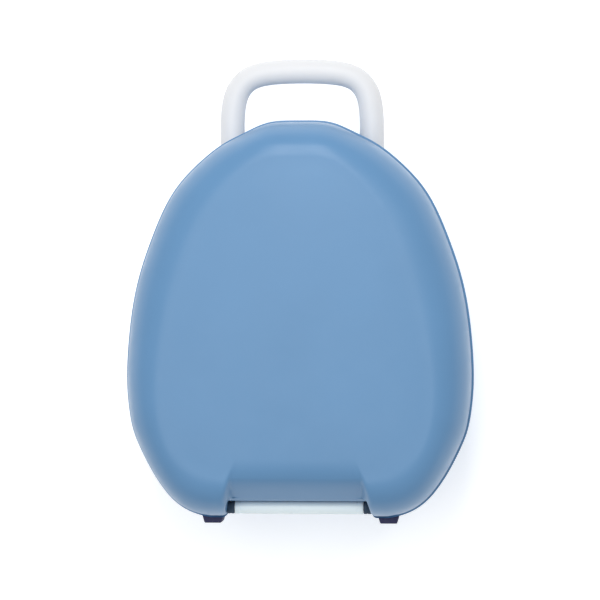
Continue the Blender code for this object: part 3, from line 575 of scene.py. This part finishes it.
def build_base_case():
    """The base's outer shell with its leg holes and button window."""
    flat = egg_loop(FLOOR_POINTS)
    outer = [ring(case_loop(inset), z) for inset, z in lip_profile(PARTING_Z, -1.0)]
    outer += [ring(case_loop(LIP), z) for z in (85.0, 70.0, BASE_WALL_Z)]
    outer += shoulder(case_loop(LIP), flat, BASE_WALL_Z, FLOOR_Z, 32)
    outer += [ring(scaled(flat, 0.6), FLOOR_Z)]
    inner_flat = scaled(flat, 0.98)
    inner = [ring(case_loop(INNER_WALL), z) for z in (PARTING_Z, BASE_WALL_Z)]
    inner += shoulder(case_loop(INNER_WALL), inner_flat, BASE_WALL_Z, FLOOR_Z + WALL, 12)
    base = ring_solid("base_case", outer[::-1] + inner, FLOOR_Z, FLOOR_Z + WALL, BASE_BLUE, 50.0)
    for x in (-HANDLE_LEG_X, HANDLE_LEG_X):
        radius = HANDLE_RADIUS + GAP
        hole = [(0.0, -135.0), (radius, -135.0), (radius, -90.0), (0.0, -90.0)]
        boolean(base, turned("leg_hole", (x, 0.0, HANDLE_Z), "y", hole, None))
    window_low = (-BUTTON_HALF_WIDTH - GAP, -130.0, BUTTON_LOW_Z - GAP)
    window_high = (BUTTON_HALF_WIDTH + GAP, -118.0, BUTTON_HIGH_Z + GAP)
    boolean(base, round_box("window", window_low, window_high, 1.2))
    dress(base, BASE_BLUE, 40.0)
    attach(base, "base")
    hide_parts("base_shell")


# ---------------------------------------------------------------- seat, bowl and lid panel

def splash_lift(loop):
    """How far each point of the seat's inner edge is raised into the splash guard."""
    angles = np.abs(loop_angles(loop))
    reach = np.clip(1.0 - angles / SPLASH_ANGLE, 0.0, 1.0)
    return SPLASH_HEIGHT * reach ** 2 * (3.0 - 2.0 * reach)


def build_bowl():
    """The seat and bowl moulding, with the splash guard at its narrow end."""
    edge = case_loop(INNER_WALL + GAP)
    mouth = egg_loop(MOUTH_POINTS)
    low = scaled(mouth, BOWL_FLOOR_SCALE)
    lift = splash_lift(mouth)
    seat = PARTING_Z
    under = seat - WALL
    floor_z = BOWL_FLOOR_Z

    def wall_ring(rise, start, end, low_z, high_z):
        return ring(blend(start, end, rise ** 0.5), low_z + (high_z - low_z) * rise)

    rises = [0.02 + 0.96 * (k / 13.0) ** 1.5 for k in range(14)]
    foot = scaled(low, 1.04)
    neck = blend(mouth, edge, 0.06)
    rings = [ring(scaled(low, 0.5), floor_z - WALL), ring(low, floor_z - WALL)]
    rings += [wall_ring(rise, foot, neck, floor_z - WALL, under - 2.0) for rise in rises]
    rings += [ring(blend(mouth, edge, 0.10), under - 1.0), ring(blend(mouth, edge, 0.26), under),
              ring(blend(mouth, edge, 0.97), under), ring(edge, under + 0.5), ring(edge, seat - 0.7),
              ring(blend(mouth, edge, 0.99), seat - 0.2), ring(blend(mouth, edge, 0.975), seat)]
    rings += [ring(blend(mouth, edge, t), seat) for t in (0.8, 0.6, 0.45, 0.3)]
    # The seat's inner edge: (share of the way to the rim, drop, share of the splash guard's lift).
    profile = [(0.22, 0.0, 0.01), (0.17, 0.0, 0.06), (0.14, 0.05, 0.18), (0.12, 0.1, 0.36),
               (0.10, 0.15, 0.56), (0.08, 0.3, 0.76), (0.06, 0.5, 0.91), (0.045, 0.8, 0.98),
               (0.03, 1.2, 1.0), (0.015, 1.8, 0.995), (0.005, 2.6, 0.97), (0.0, 3.6, 0.94),
               (-0.005, 4.8, 0.9)]
    rings += [ring(blend(mouth, edge, t), seat - drop + share * lift) for t, drop, share in profile]
    rings += [wall_ring(rise, low, mouth, floor_z, seat - 6.0) for rise in rises[::-1]]
    rings += [ring(scaled(low, 0.97), floor_z + 0.3), ring(scaled(low, 0.92), floor_z),
              ring(scaled(low, 0.5), floor_z)]
    bowl = ring_solid("bowl_seat", rings, floor_z - WALL, floor_z, LINER_BLUE, 50.0)
    boolean(bowl, round_box("hook_slot", (-8.5, -119.2, 90.0), (8.5, -108.5, 110.0), 1.0))
    dress(bowl, LINER_BLUE, 45.0)
    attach(bowl, "base")
    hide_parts("bowl_insert")


def liner_loop(inset):
    """The panel's edge: the case outline set in, and cut off straight before the hinge."""
    loop = case_loop(inset)
    loop[:, 1] = np.minimum(loop[:, 1], HINGE_Y - 12.0)
    return loop


def build_lid_panel():
    """The lid's inner panel, with a pocket over the seat and a groove for the seal."""
    edge = liner_loop(INNER_WALL + 2.0 * GAP)
    pocket = scaled(egg_loop(MOUTH_POINTS), 1.10)
    roof = scaled(pocket, 0.86)
    low = LINER_PLATE_Z
    high = low + WALL
    top = LINER_POCKET_Z
    rings = [ring(scaled(roof, 0.5), top - WALL), ring(scaled(roof, 0.90), top - WALL)]
    for step in range(1, 8):
        angle = 0.5 * math.pi * step / 7
        rings.append(ring(blend(scaled(roof, 0.90), scaled(roof, 0.985), math.sin(angle)),
                          top - WALL - 6.0 * (1.0 - math.cos(angle))))
    upper, lower = scaled(roof, 0.985), scaled(pocket, 0.985)
    rings += [ring(blend(upper, lower, t), blend(top - WALL - 6.0, low + 6.0, t))
              for t in (0.25, 0.5, 0.75, 1.0)]
    for step in range(1, 7):
        angle = 0.5 * math.pi * step / 6
        rings.append(ring(blend(scaled(pocket, 0.985), scaled(pocket, 1.03), 1.0 - math.cos(angle)),
                          low + 6.0 * (1.0 - math.sin(angle))))
    inner, outer = SEAL_INNER, SEAL_OUTER
    groove = [(inner - 0.02, low), (inner - 0.004, low + 0.1), (inner, low + 0.4), (inner, low + 1.2),
              (outer, low + 1.2), (outer, low + 0.4), (outer + 0.004, low + 0.1), (outer + 0.02, low)]
    border = [(0.7, low), (0.985, low), (1.0, low + 0.5), (1.0, high)]
    rib = [(outer + 0.10, high), (outer + 0.06, high + 1.2),
           (inner - 0.06, high + 1.2), (inner - 0.10, high)]
    rings += [ring(blend(pocket, edge, t), z) for t, z in groove + border + rib]
    rings += [ring(scaled(pocket, 1.035), high), ring(scaled(pocket, 1.02), low + 7.0),
              ring(scaled(roof, 1.02), top - 4.0), ring(scaled(roof, 0.97), top),
              ring(scaled(roof, 0.5), top)]
    panel = ring_solid("lid_panel", rings, top - WALL, top, LINER_BLUE, 45.0)
    boolean(panel, round_box("hook_slot", (-8.0, -118.0, low - 2.0), (8.0, -113.4, high + 2.0), 0.8))
    dress(panel, LINER_BLUE, 45.0)
    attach(panel, "lid")
    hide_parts("lid_liner")


def build_seal():
    """The lip seal in the panel's groove: a rounded ring that just clears the seat."""
    edge = liner_loop(INNER_WALL + 2.0 * GAP)
    pocket = scaled(egg_loop(MOUTH_POINTS), 1.10)
    centre = 0.5 * (SEAL_INNER + SEAL_OUTER)
    top = LINER_PLATE_Z + 1.0
    half_height = 0.5 * (top - PARTING_Z - GAP)
    middle_z = top - half_height
    sides = 20
    rows = []
    for k in range(sides):
        angle = 2.0 * math.pi * k / sides
        across = math.copysign(abs(math.cos(angle)) ** 0.6, math.cos(angle))
        along = math.copysign(abs(math.sin(angle)) ** 0.8, math.sin(angle))
        rows.append(ring(blend(pocket, edge, centre + 0.044 * across), middle_z + half_height * along))
    count = len(edge)
    verts = [tuple(point) for row in rows for point in row]
    faces = []
    for row in range(sides):
        below = (row + 1) % sides
        for i in range(count):
            after = (i + 1) % count
            faces.append((row * count + i, row * count + after,
                          below * count + after, below * count + i))
    seal = add_piece("seal_ring", verts, faces, SILICONE)
    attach(seal, "lid")
    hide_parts("lid_seal")


# ---------------------------------------------------------------- handle

def build_handle():
    """A round tube bent into a loop, its legs running straight into the base."""
    bend = relaxed(even_steps(smooth_curve(HANDLE_POINTS), 60), 10)
    leg = np.array([(HANDLE_LEG_X, y) for y in np.linspace(-124.0, -84.0, 14)])
    half = np.vstack([bend, leg])
    route = np.vstack([half[:0:-1] * np.array([-1.0, 1.0]), half])
    sides = 48
    ahead = np.gradient(route, axis=0)
    ahead /= np.linalg.norm(ahead, axis=1)[:, None]
    verts = []
    for point, way in zip(route, ahead):
        across = np.array([way[1], -way[0]])
        for side in range(sides):
            angle = 2.0 * math.pi * side / sides
            offset = across * HANDLE_RADIUS * math.cos(angle)
            height = HANDLE_Z + HANDLE_RADIUS * math.sin(angle)
            verts.append((point[0] + offset[0], point[1] + offset[1], height))
    faces = [tuple(range(sides)), tuple(range(len(verts) - sides, len(verts)))]
    for row in range(len(route) - 1):
        for side in range(sides):
            a = row * sides + side
            b = row * sides + (side + 1) % sides
            faces.append((a, b, b + sides, a + sides))
    handle = add_piece("carry_handle", verts, faces, HANDLE_WHITE)
    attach(handle, "base")
    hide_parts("handle")


# ---------------------------------------------------------------- hinge

def build_hinge():
    """The barrel with its rounded ends and plate, and a ringed bush at each end."""
    centre = (0.0, HINGE_Y, HINGE_Z)
    half = BARREL_HALF_LENGTH
    radius = BARREL_RADIUS
    ends = [(radius - 0.5, 0.0), (radius - 0.15, 0.15), (radius, 0.5), (radius, 3.6), (radius - 0.25, 3.9),
            (radius - 0.25, 4.5), (radius, 4.8)]
    left = [(r, -half + d) for r, d in ends]
    right = [(r, half - d) for r, d in reversed(ends)]
    profile = [(0.0, -half)] + left + right + [(0.0, half)]
    barrel = turned("hinge_barrel", centre, "x", profile, ICE_BLUE, 72)
    plate_y = NOTCH_CORNER[1] + 0.4
    for reach, low_z, high_z, depth, edge in ((PLATE_HALF_LENGTH, 78.0, 107.0, 3.0, 1.0),
                                              (LOWER_PLATE_HALF_LENGTH, 77.0, 104.5, 2.6, 0.8)):
        plate = round_box("plate", (-reach, plate_y, low_z), (reach, plate_y + depth, high_z), edge)
        boolean(barrel, plate, "UNION")
    bore = [(0.0, -60.0), (BORE_RADIUS, -60.0), (BORE_RADIUS, 60.0), (0.0, 60.0)]
    boolean(barrel, turned("bore", centre, "x", bore, None, 48))
    dress(barrel, ICE_BLUE, 35.0)
    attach(barrel, "base")
    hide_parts("hinge_bracket")
    for side in ("left", "right"):
        low, high = (1000.0 * corner.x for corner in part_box("hinge_bush_" + side))
        middle = 0.5 * (low + high)
        reach = 0.5 * (high - low)
        outside = BUSH_RADIUS
        profile = [(0.0, -reach), (outside - 0.5, -reach), (outside - 0.15, -reach + 0.15),
                   (outside, -reach + 0.5), (outside, -0.5), (outside - 0.3, -0.25), (outside - 0.3, 0.25),
                   (outside, 0.5), (outside, reach - 0.5), (outside - 0.15, reach - 0.15),
                   (outside - 0.5, reach), (0.0, reach)]
        # Each bush gets the dark teal painted shade of the gap beside the barrel's end.
        bush = turned("bush_" + side, (middle, HINGE_Y, HINGE_Z), "x", profile, BUSH_PAINTED_SHADE, 48)
        boolean(bush, turned("bore", centre, "x", bore, None, 48))
        dress(bush, BUSH_PAINTED_SHADE, 35.0)
        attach(bush, "base")
        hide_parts("hinge_bush_" + side)


# ---------------------------------------------------------------- feet, pads and button

def build_feet():
    """Tapered rubber feet on the hinge end, and round pads under the base."""
    for side in ("left", "right"):
        low, high = (1000.0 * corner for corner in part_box("standing_foot_" + side))
        low.y = EAR_CORNER[1] - LIP
        foot = round_box("foot_" + side, low, high, 1.0, NAVY, 4)
        centre = 0.5 * (low + high)
        for vertex in foot.data.vertices:
            out = (vertex.co.y / MM - low.y) / (high.y - low.y)
            for k, taper in ((0, 0.22), (2, 0.10)):
                vertex.co[k] = (centre[k] + (vertex.co[k] / MM - centre[k]) * (1.0 - taper * out)) * MM
        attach(foot, "base")
        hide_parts("standing_foot_" + side)
    for place in ("front_left", "front_right", "rear_left", "rear_right"):
        low, high = (1000.0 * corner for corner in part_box("floor_pad_" + place))
        middle = 0.5 * (low + high)
        height = high.z - low.z
        profile = [(0.0, 0.0), (3.2, 0.0), (3.5, 0.15), (3.7, 0.45), (4.3, 0.45), (4.5, 0.15), (4.8, 0.0),
                   (7.8, 0.0), (8.3, 0.12), (8.7, 0.5), (8.9, 1.1), (8.9, height - 0.2), (8.7, height),
                   (0.0, height)]
        pad = turned("pad_" + place, (middle.x, middle.y, low.z), "z", profile, NAVY, 56)
        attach(pad, "base")
        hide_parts("floor_pad_" + place)


def build_button():
    """The latch button's cap with a finger dish, joined to its carrier frame."""
    cap_low = (-BUTTON_HALF_WIDTH, BUTTON_FRONT_Y, BUTTON_LOW_Z)
    cap_high = (BUTTON_HALF_WIDTH, BUTTON_FRONT_Y + 3.6, BUTTON_HIGH_Z)
    button = round_box("push_button", cap_low, cap_high, 1.4, None, 5)
    dish_centre = (0.0, BUTTON_FRONT_Y - DISH_RADIUS + DISH_DEPTH, 85.0)
    dish_arc = []
    for step in range(DISH_STEPS + 1):
        angle = math.pi * step / DISH_STEPS
        reach, along = DISH_RADIUS * math.sin(angle), -DISH_RADIUS * math.cos(angle)
        dish_arc.append((round(reach, 1), round(along, 1)))
    dish = turned("dish", dish_centre, "y", dish_arc, None, 64)
    smooth = dish.modifiers.new("smooth", "SUBSURF")
    smooth.levels = 2
    smooth.render_levels = 2
    boolean(button, dish)
    for x in (1.5 - BUTTON_HALF_WIDTH, BUTTON_HALF_WIDTH - 1.5):
        rail = round_box("rail", (x - 1.5, -123.0, 80.0), (x + 1.5, CARRIER_REAR_Y, 91.0), 0.3, None, 2)
        boolean(button, rail, "UNION")
    back_low = (-BUTTON_HALF_WIDTH, CARRIER_REAR_Y - 2.0, 79.0)
    back_high = (BUTTON_HALF_WIDTH, CARRIER_REAR_Y, 91.5)
    boolean(button, round_box("back", back_low, back_high, 0.3, None, 2), "UNION")
    pawl = round_box("pawl", (-10.0, -111.3, 88.0), (10.0, CARRIER_REAR_Y - 1.0, 91.0), 0.3, None, 2)
    boolean(button, pawl, "UNION")
    dress(button, HANDLE_WHITE, 35.0)
    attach(button, "latch_button")
    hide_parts("latch_button")


def build_spring():
    """The latch's return spring, a round-wire coil filling the CAD spring's box."""
    low, high = (1000.0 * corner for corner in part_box("latch_spring"))
    centre = 0.5 * (low + high)
    coil = 0.5 * (high.x - low.x) - SPRING_WIRE
    steps = int(SPRING_TURNS * SPRING_STEPS)
    sides = 12
    verts = []
    for step in range(steps + 1):
        turn = 2.0 * math.pi * step / SPRING_STEPS
        y = low.y + SPRING_WIRE + (high.y - low.y - 2.0 * SPRING_WIRE) * step / steps
        for side in range(sides):
            angle = 2.0 * math.pi * side / sides
            reach = coil + SPRING_WIRE * math.cos(angle)
            verts.append((centre.x + reach * math.cos(turn), y + SPRING_WIRE * math.sin(angle),
                          centre.z + reach * math.sin(turn)))
    faces = [tuple(range(sides)), tuple(range(steps * sides, (steps + 1) * sides))]
    for step in range(steps):
        for side in range(sides):
            a = step * sides + side
            b = step * sides + (side + 1) % sides
            faces.append((a, b, b + sides, a + sides))
    spring = add_piece("return_spring", verts, faces, STEEL)
    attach(spring, "base")
    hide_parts("latch_spring")
    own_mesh(spring)


# ---------------------------------------------------------------- screws and carried pieces

def build_screws():
    """Pan-head screws with a cross recess and a threaded shank, one for each plain CAD screw."""
    ways = {"base_screw": ("z", 1.0), "lid_screw": ("z", 1.0), "crossbar_screw": ("z", 1.0),
            "bracket_screw": ("y", -1.0), "hook_screw": ("z", -1.0)}
    for name in sorted(frame["nodes"]):
        stem = next((key for key in ways if name.startswith(key)), None)
        if stem is None:
            continue
        axis, way = ways[stem]
        low, high = (1000.0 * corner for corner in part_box(name))
        k = "xyz".index(axis)
        base = 0.5 * (low + high)
        base[k] = low[k] if way > 0.0 else high[k]
        length = high[k] - low[k]
        head = [(0.0, 0.0), (1.6, 0.02), (2.5, 0.2), (3.05, 0.55), (3.28, 1.0), (3.3, 1.6), (3.1, 1.9)]
        thread = []
        pitch = 1.1
        depth = 1.95
        while depth + pitch < length - 1.4:
            thread += [(1.25, depth), (1.58, depth + 0.45 * pitch), (1.25, depth + 0.9 * pitch)]
            depth += pitch
        tail = [(1.25, length - 1.4), (0.5, length - 0.2), (0.0, length)]
        profile = [(radius, way * distance) for radius, distance in head + thread + tail]
        screw = turned(name + "_detail", tuple(base), axis, profile, None, 32)
        for slot_axis in range(3):
            if slot_axis == k:
                continue
            reach = [0.45, 0.45, 0.45]
            reach[slot_axis] = 1.9
            reach[k] = 1.0
            middle = Vector(base)
            low_corner = [middle[i] - reach[i] for i in range(3)]
            high_corner = [middle[i] + reach[i] for i in range(3)]
            boolean(screw, round_box("recess", low_corner, high_corner, 0.12, None, 1))
        dress(screw, STEEL, 35.0)
        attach(screw, frame_body(name))
        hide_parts(name)


def frame_body(node):
    """The body that a CAD node belongs to."""
    bodies = frame["record"]["behaviour"]["bodies"]
    return next(body for body, members in bodies.items() if node in members)


def dress_carried_nodes():
    """Better materials and eased edges for the CAD pieces that stay."""
    looks = {"handle_crossbar": INNER_GREY, "latch_housing": INNER_GREY, "latch_hook": INNER_GREY,
             "hinge_pin": STEEL, "handle_pin_left": STEEL, "handle_pin_right": STEEL}
    for name, material in looks.items():
        node = frame["nodes"][name]
        for index in range(len(node.material_slots)):
            node.material_slots[index].material = material
        if material is INNER_GREY:
            ease = node.modifiers.new("eased_edges", "BEVEL")
            ease.width = 0.4 * MM
            ease.segments = 3
            ease.limit_method = "ANGLE"
            ease.angle_limit = math.radians(40.0)


# ---------------------------------------------------------------- stage, lights and camera

VIEW_YAW = math.radians(3.8)
CAMERA_DISTANCE = 2.0
FRAME_WIDTH = 0.4415
TARGET = Vector((0.0, 0.0066, 0.101))


def build_floor():
    build = bmesh.new()
    bmesh.ops.create_grid(build, x_segments=8, y_segments=8, size=3.0)
    mesh = bpy.data.meshes.new("floor")
    build.to_mesh(mesh)
    build.free()
    floor = bpy.data.objects.new("floor", mesh)
    bpy.context.scene.collection.objects.link(floor)
    material, tree, shader = node_material("floor_paper")
    place = tree.nodes.new("ShaderNodeTexCoord").outputs["Object"]
    fibre = noise_node(tree, place, 6.0, 4.0)
    tree.links.new(tinted(tree, map_range(tree, fibre, 0.0, 1.0), (0.93, 0.93, 0.93), (0.95, 0.95, 0.95)),
                   shader.inputs["Base Color"])
    shader.inputs["Roughness"].default_value = 0.9
    shader.inputs["Specular IOR Level"].default_value = 0.0
    shader.inputs["Emission Color"].default_value = (1.0, 1.0, 1.0, 1.0)
    shader.inputs["Emission Strength"].default_value = 0.40
    floor.data.materials.append(material)


def add_area_light(name, place, target, size, power, colour=(1.0, 1.0, 1.0)):
    data = bpy.data.lights.new(name, "AREA")
    data.shape = "RECTANGLE"
    data.size = size[0]
    data.size_y = size[1]
    data.energy = power
    data.color = colour
    light = bpy.data.objects.new(name, data)
    light.location = place
    light.rotation_mode = "QUATERNION"
    light.rotation_quaternion = (Vector(place) - Vector(target)).to_track_quat("Z", "Y")
    bpy.context.scene.collection.objects.link(light)
    return light


def build_lights():
    world = bpy.data.worlds.new("studio")
    world.use_nodes = True
    background = world.node_tree.nodes["Background"]
    background.inputs["Color"].default_value = (0.96, 0.98, 1.0, 1.0)
    background.inputs["Strength"].default_value = 0.42
    bpy.context.scene.world = world
    add_area_light("key_box", (0.32, -0.02, 2.1), (0.0, 0.0, 0.1), (1.7, 1.7), 16.8)
    add_area_light("top_box", (0.02, -0.92, 1.41), (0.0, -0.1, 0.15), (0.5, 1.0), 10.5)
    add_area_light("edge_strip", (-0.8, -0.6, 1.85), (0.0, 0.0, 0.12), (0.25, 1.2), 2.6)
    bpy.context.scene.view_settings.view_transform = "Standard"
    bpy.context.scene.view_settings.look = "None"


def build_camera():
    """A long lens straight above the lid, turned a few degrees towards the object's -X side."""
    data = bpy.data.cameras.new("camera")
    data.sensor_width = 36.0
    data.lens = 36.0 * CAMERA_DISTANCE / FRAME_WIDTH
    data.clip_start = 0.05
    data.clip_end = 20.0
    camera = bpy.data.objects.new("camera", data)
    back = Vector((-math.sin(VIEW_YAW), 0.0, math.cos(VIEW_YAW)))
    up = Vector((0.0, -1.0, 0.0))
    right = up.cross(back)
    camera.matrix_world = Matrix((right, up, back)).transposed().to_4x4()
    camera.location = TARGET + back * CAMERA_DISTANCE
    bpy.context.scene.collection.objects.link(camera)
    bpy.context.scene.camera = camera


build_camera()
build_lights()
build_floor()
build_lid_case()
build_base_case()
build_bowl()
build_lid_panel()
build_seal()
build_handle()
build_hinge()
build_feet()
build_button()
build_spring()
build_screws()
dress_carried_nodes()
